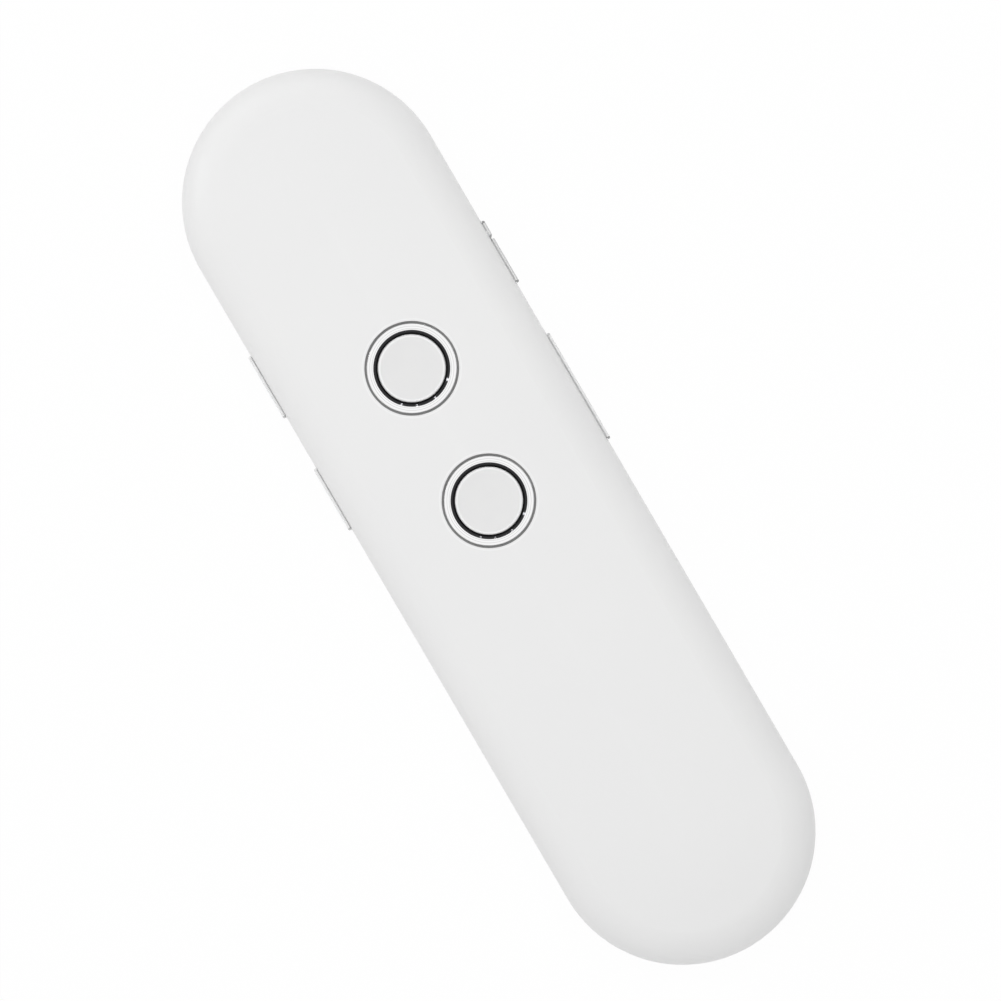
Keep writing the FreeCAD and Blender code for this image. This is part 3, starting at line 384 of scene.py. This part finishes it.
board = finish("solder_mask", (0.03, 0.17, 0.08), 0.3, Coat_Weight=0.3, Coat_Roughness=0.15)
tracks = add(
    board, "ShaderNodeTexBrick", [("offset", 0.37), ("squash", 1.4), ("squash_frequency", 3)],
    Vector=place(board), Scale=1 / 0.0012, Mortar_Size=0.11, Mortar_Smooth=0.2, Bias=0.0,
    Brick_Width=1.9, Row_Height=0.42,
)
on_track = tracks.outputs["Fac"]
onto(board, blend(board, on_track, (0.022, 0.13, 0.06), (0.045, 0.24, 0.11)), "Base Color")
raise_skin(board, on_track, 0.00002)
uneven_gloss(board, 0.24, 0.36, size=0.0015)
dress(board, "main_board", "battery_guard_board")


# Chips and the socket's tongue: moulded epoxy, dark grey, with the fine pitted skin of the mould.
# The chips are soldered to the board, and the tongue is pressed into the socket's back.

epoxy = finish("moulded_epoxy", (0.04, 0.04, 0.043), 0.55)
uneven_colour(epoxy, (0.036, 0.036, 0.038), (0.055, 0.055, 0.058), size=0.0004, detail=4.0)
uneven_gloss(epoxy, 0.48, 0.66, size=0.0003)
grain(epoxy, size=0.00008, depth=0.000006, detail=4.0)
dress(epoxy, "processor_chip", "memory_chip", "charger_chip", "audio_chip", "usb_tongue")


# Push switches: black moulded bodies, soldered to the board, and natural nylon plungers, which are
# slightly see-through. The battery's plug and header are moulded in the same nylon.

switch_black = finish("switch_black", (0.06, 0.06, 0.063), 0.45)
uneven_colour(switch_black, (0.055, 0.055, 0.058), (0.075, 0.075, 0.078), size=0.0008)
uneven_gloss(switch_black, 0.4, 0.52, size=0.0005)
grain(switch_black, size=0.00015, depth=0.000005)
dress(switch_black, *[name for name in nodes if name.endswith("_switch")])

nylon = finish("natural_nylon", (0.78, 0.77, 0.72), 0.4, Subsurface_Weight=0.3, Subsurface_Scale=0.0006)
uneven_colour(nylon, (0.79, 0.78, 0.73), (0.75, 0.735, 0.68), size=0.0009)
uneven_gloss(nylon, 0.35, 0.46, size=0.0006)
grain(nylon, size=0.0002, depth=0.000004)
dress(nylon, "battery_plug", "battery_header", *[name for name in nodes if name.endswith("_plunger")])


# Battery: a pouch cell in laminated foil, with the shallow puckers of a heat-sealed pouch, on a
# pad of black closed-cell foam. The same foam rings the speaker.

foil = finish("pouch_foil", (0.70, 0.71, 0.72), 0.36, metallic=0.85)
uneven_colour(foil, (0.71, 0.72, 0.73), (0.66, 0.67, 0.69), size=0.004)
uneven_gloss(foil, 0.3, 0.44, size=0.002)
grain(foil, size=0.0022, depth=0.00006, detail=3.0)
dress(foil, "battery_cell")

foam = finish("black_foam", (0.03, 0.03, 0.03), 0.9)
cells = add(foam, "ShaderNodeTexVoronoi", Vector=place(foam), Scale=1 / 0.00025)
raise_skin(foam, cells.outputs["Distance"], 0.00006)
cell_wall = range_of(foam, cells.outputs["Distance"], 0, 1, 0.1, 0.6)
onto(foam, blend(foam, cell_wall, (0.015, 0.015, 0.015), (0.05, 0.05, 0.05)), "Base Color")
dress(foam, "battery_pad", "speaker_gasket")


# Speaker: black moulded basket, a thin amber film diaphragm, and a woven dust mesh behind the
# grille's holes.

basket = finish("basket_black", (0.045, 0.045, 0.047), 0.5)
uneven_colour(basket, (0.04, 0.04, 0.042), (0.06, 0.06, 0.062), size=0.001)
uneven_gloss(basket, 0.44, 0.56, size=0.0008)
grain(basket, size=0.0002, depth=0.000006)
dress(basket, "speaker_frame")

film = finish("cone_film", (0.55, 0.42, 0.2), 0.25, Transmission_Weight=0.35, Coat_Weight=0.3)
uneven_colour(film, (0.58, 0.45, 0.22), (0.5, 0.37, 0.17), size=0.002)
grain(film, size=0.0006, depth=0.000006)
dress(film, "speaker_cone")

mesh = finish("woven_mesh", (0.03, 0.03, 0.03), 0.8)
threads = []
for direction in ("X", "Y"):
    wave = add(mesh, "ShaderNodeTexWave", [("bands_direction", direction)], Vector=place(mesh),
               Scale=1 / 0.0012, Distortion=0.0)
    threads.append(wave.outputs["Fac"])
weave = combine(mesh, "MAXIMUM", *threads)
onto(mesh, blend(mesh, weave, (0.006, 0.006, 0.006), (0.07, 0.07, 0.07)), "Base Color")
raise_skin(mesh, weave, 0.00005)
dress(mesh, "speaker_mesh")


# Microphones: small drawn aluminium cans in grey rubber boots, one at each end. The boots are
# pressed into the front shell behind the pinholes.

can = finish("drawn_aluminium", (0.72, 0.72, 0.73), 0.32, metallic=1.0)
uneven_colour(can, (0.73, 0.73, 0.74), (0.66, 0.66, 0.68), size=0.0006)
uneven_gloss(can, 0.27, 0.4, size=0.0004)
grain(can, size=0.00015, depth=0.000003)
dress(can, "upper_microphone", "lower_microphone")

boot = finish("boot_rubber", (0.22, 0.22, 0.225), 0.7)
uneven_colour(boot, (0.2, 0.2, 0.205), (0.25, 0.25, 0.255), size=0.0008)
uneven_gloss(boot, 0.62, 0.78, size=0.0006)
grain(boot, size=0.0002, depth=0.000008)
dress(boot, "upper_microphone_boot", "lower_microphone_boot")


# Leads: stranded wire in soft vinyl, red and black, with the slight waviness of the extrusion. Their
# ends are soldered, apart from the battery's at its plug, which are crimped.

for name, colour, darker, leads in (
    ("wire_red", (0.55, 0.03, 0.025), (0.45, 0.02, 0.018), ("battery_lead_red", "speaker_lead_red")),
    ("wire_black", (0.028, 0.028, 0.03), (0.045, 0.045, 0.048),
     ("battery_lead_black", "speaker_lead_black", "upper_microphone_leads", "lower_microphone_leads")),
):
    vinyl = finish(name, colour, 0.38)
    uneven_colour(vinyl, colour, darker, size=0.0012)
    uneven_gloss(vinyl, 0.32, 0.46, size=0.0008)
    grain(vinyl, size=0.0009, depth=0.000012)
    dress(vinyl, *leads)


# Studio floor: a smooth white paper sheet that the device lies on. It shows as plain white, and
# still takes a faint contact shadow.


def looked_at(made):
    """1 where a ray sees it straight, mirrored or through glass, and 0 where it lights a surface."""
    ray = add(made, "ShaderNodeLightPath")
    direct = combine(made, "MAXIMUM", ray.outputs["Is Camera Ray"], ray.outputs["Is Glossy Ray"])
    return combine(made, "MAXIMUM", direct, ray.outputs["Is Transmission Ray"])


sheet_reach = 3.0
paper_glow = 0.97
sheet = bmesh.new()
bmesh.ops.create_grid(sheet, x_segments=1, y_segments=1, size=sheet_reach)
floor_mesh = bpy.data.meshes.new("paper_floor")
sheet.to_mesh(floor_mesh)
sheet.free()
floor = bpy.data.objects.new("paper_floor", floor_mesh)
bpy.context.scene.collection.objects.link(floor)
paper = bpy.data.materials.new("paper")
paper.use_nodes = True
paper.node_tree.nodes.remove(paper.node_tree.nodes["Principled BSDF"])
fibres = add(paper, "ShaderNodeTexNoise", Vector=place(paper), Scale=1 / 0.0004, Detail=3.0)
matt = add(paper, "ShaderNodeBsdfDiffuse", Roughness=0.8)
shades = blend(paper, range_of(paper, fibres.outputs["Fac"], 0, 1), (0.90, 0.90, 0.90), (0.93, 0.93, 0.93))
paper.node_tree.links.new(shades, matt.inputs["Color"])
glow = add(paper, "ShaderNodeEmission", Color=(1, 1, 1, 1), Strength=1.0)
mixed = add(paper, "ShaderNodeMixShader", Fac=combine(paper, "MULTIPLY", looked_at(paper), paper_glow))
paper.node_tree.links.new(matt.outputs[0], mixed.inputs[1])
paper.node_tree.links.new(glow.outputs[0], mixed.inputs[2])
paper.node_tree.links.new(mixed.outputs[0], paper.node_tree.nodes["Material Output"].inputs["Surface"])
floor_mesh.materials.append(paper)


# Camera: the photograph looks straight down on the front, to about a degree, from well away. The
# device lies aslant, its upper end towards the picture's upper left.

tilt = math.radians(-1.2)
lean = math.radians(0.4)
turn = math.radians(30.238)
distance = 1.2
frame_width = 0.1428
shift_right = 0.0002
shift_up = 0.0024
back = Vector((math.sin(lean), -math.sin(tilt), math.cos(tilt))).normalized()
across = (Vector((1, 0, 0)) - back * back.x).normalized()
along = back.cross(across)
right = across * math.cos(turn) - along * math.sin(turn)
up = across * math.sin(turn) + along * math.cos(turn)
low, high = Vector(cad_box[0]), Vector(cad_box[1])
middle = (low + high) / 2
camera = bpy.data.objects.new("camera", bpy.data.cameras.new("camera"))
camera.data.sensor_width = 36.0
camera.data.lens = 36.0 * distance / frame_width
camera.data.clip_end = 20.0
camera.location = middle + back * distance + right * shift_right + up * shift_up
camera.rotation_mode = "QUATERNION"
camera.rotation_quaternion = Matrix((right, up, back)).transposed().to_quaternion()
bpy.context.scene.collection.objects.link(camera)
bpy.context.scene.camera = camera


# Light: a soft box over the middle, a wider one high above it, and a pale room that is dimmer
# overhead and to the right. Slim strips low over the table put the glints on the dark bevels.


def soft_box(name, offset, size, power, size_y=None, mirrored=False):
    """An area lamp at middle + offset that faces the part. Bright metal shows it if mirrored."""
    lamp = bpy.data.lights.new(name, "AREA")
    lamp.shape = "RECTANGLE"
    lamp.size = size
    lamp.size_y = size_y or size
    lamp.energy = power
    made = bpy.data.objects.new(name, lamp)
    made.location = middle + offset
    made.rotation_mode = "QUATERNION"
    made.rotation_quaternion = offset.to_track_quat("Z", "Y")
    made.visible_glossy = mirrored
    bpy.context.scene.collection.objects.link(made)


soft_box("key_box", back * 0.34 + along * 0.015 - across * 0.002, size=0.3, power=0.41)
soft_box("fill_box", back * 0.9 + right * 0.1 + up * 0.15, size=0.8, power=0.75)

strip_away = 0.4
strip_height = 0.115
strip_depth = 0.04
for name, degrees_from_right, width, power in (
    ("left_strip", 161, 0.023, 0.11),
    ("middle_strip", 129, 0.010, 0.052),
    ("upper_strip", 100, 0.008, 0.04),
    ("top_strip", 77, 0.011, 0.058),
):
    bearing = math.radians(degrees_from_right)
    towards = right * math.cos(bearing) + up * math.sin(bearing)
    soft_box(name, towards * strip_away + back * strip_height, width, power, strip_depth, mirrored=True)

level_at_sides = 0.8
level_overhead = 0.5
level_slope = 0.09
room = bpy.data.worlds.new("room")
bpy.context.scene.world = room
room.use_nodes = True
surround = room.node_tree.nodes["Background"]
surround.inputs["Color"].default_value = (1, 1, 1, 1)
direction = add(room, "ShaderNodeTexCoord").outputs["Generated"]
side = add(room, "ShaderNodeSeparateXYZ", Vector=direction)
walls = range_of(room, side.outputs["Z"], level_at_sides, level_overhead, 0.0, 1.0)
sloped = combine(room, "SUBTRACT", walls, combine(room, "MULTIPLY", side.outputs["X"], level_slope))
level = combine(room, "MAXIMUM", sloped, looked_at(room))
room.node_tree.links.new(level, surround.inputs["Strength"])

bpy.context.scene.view_settings.view_transform = "Standard"
